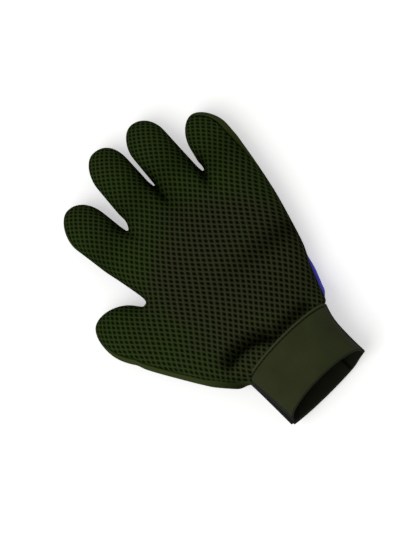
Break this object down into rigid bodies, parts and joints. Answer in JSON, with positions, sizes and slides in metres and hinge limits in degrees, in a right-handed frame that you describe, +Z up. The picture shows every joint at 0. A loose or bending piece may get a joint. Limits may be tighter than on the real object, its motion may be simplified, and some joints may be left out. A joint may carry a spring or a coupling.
{
  "type": "grooming glove",
  "caption": "Five-finger pet grooming glove with a spacer-mesh back, silicone nub pads on the palm and fingers, and an elastic wrist band with a hook-and-loop tab.",
  "frame": {"origin": "middle of the palm on the plane of the nub tips, at the flat tip of the palm's central nub", "axes": "+Z up out of the back of the hand, +Y to the fingertips, +X to the little finger; the glove lies palm down"},
  "size_m": [0.1663, 0.231, 0.0464],
  "materials": {
    "spacer_mesh": "matte knitted polyester air mesh with staggered holes",
    "palm_fabric": "matte plain woven polyester",
    "silicone": "satin moulded silicone",
    "elastic": "ribbed woven elastic",
    "loop_tape": "brushed nylon loop",
    "hook_tape": "nylon hooks on woven tape"
  },
  "bodies": {
    "hand": {"back_mesh": "spacer_mesh", "palm_fabric": "palm_fabric", "palm_pad": "silicone", "thumb_base_pad": "silicone", "thumb_knuckle": "spacer_mesh", "index_knuckle": "spacer_mesh", "middle_knuckle": "spacer_mesh", "ring_knuckle": "spacer_mesh", "little_knuckle": "spacer_mesh", "wrist_band": "elastic", "loop_patch": "loop_tape"},
    "thumb": {"thumb_back": "spacer_mesh", "thumb_palm_fabric": "palm_fabric", "thumb_pad": "silicone"},
    "index": {"index_back": "spacer_mesh", "index_palm_fabric": "palm_fabric", "index_pad": "silicone"},
    "middle": {"middle_back": "spacer_mesh", "middle_palm_fabric": "palm_fabric", "middle_pad": "silicone"},
    "ring": {"ring_back": "spacer_mesh", "ring_palm_fabric": "palm_fabric", "ring_pad": "silicone"},
    "little": {"little_back": "spacer_mesh", "little_palm_fabric": "palm_fabric", "little_pad": "silicone"},
    "tab": {"closure_tab": "elastic", "hook_patch": "hook_tape"}
  },
  "joints": [
    {"name": "thumb_bend", "type": "hinge", "parent": "hand", "child": "thumb", "pos_m": [-0.0675, 0.001, 0.0155], "axis": [-0.8572, -0.515, 0], "range_deg": [-30, 65], "deforming": ["thumb_knuckle"]},
    {"name": "index_bend", "type": "hinge", "parent": "hand", "child": "index", "pos_m": [-0.037, 0.06, 0.0155], "axis": [-0.9914, -0.1305, 0], "range_deg": [-30, 65], "deforming": ["index_knuckle"]},
    {"name": "middle_bend", "type": "hinge", "parent": "hand", "child": "middle", "pos_m": [-0.002, 0.069, 0.0155], "axis": [-0.9997, 0.0262, 0], "range_deg": [-30, 65], "deforming": ["middle_knuckle"]},
    {"name": "ring_bend", "type": "hinge", "parent": "hand", "child": "ring", "pos_m": [0.0293, 0.069, 0.0155], "axis": [-0.999, 0.0436, 0], "range_deg": [-30, 65], "deforming": ["ring_knuckle"]},
    {"name": "little_bend", "type": "hinge", "parent": "hand", "child": "little", "pos_m": [0.0607, 0.051, 0.0155], "axis": [-0.9863, 0.165, 0], "range_deg": [-30, 65], "deforming": ["little_knuckle"]},
    {"name": "tab_peel", "type": "hinge", "parent": "hand", "child": "tab", "pos_m": [0.02985, -0.1, 0.01743], "axis": [0, -1, 0], "range_deg": [0, 120]}
  ]
}
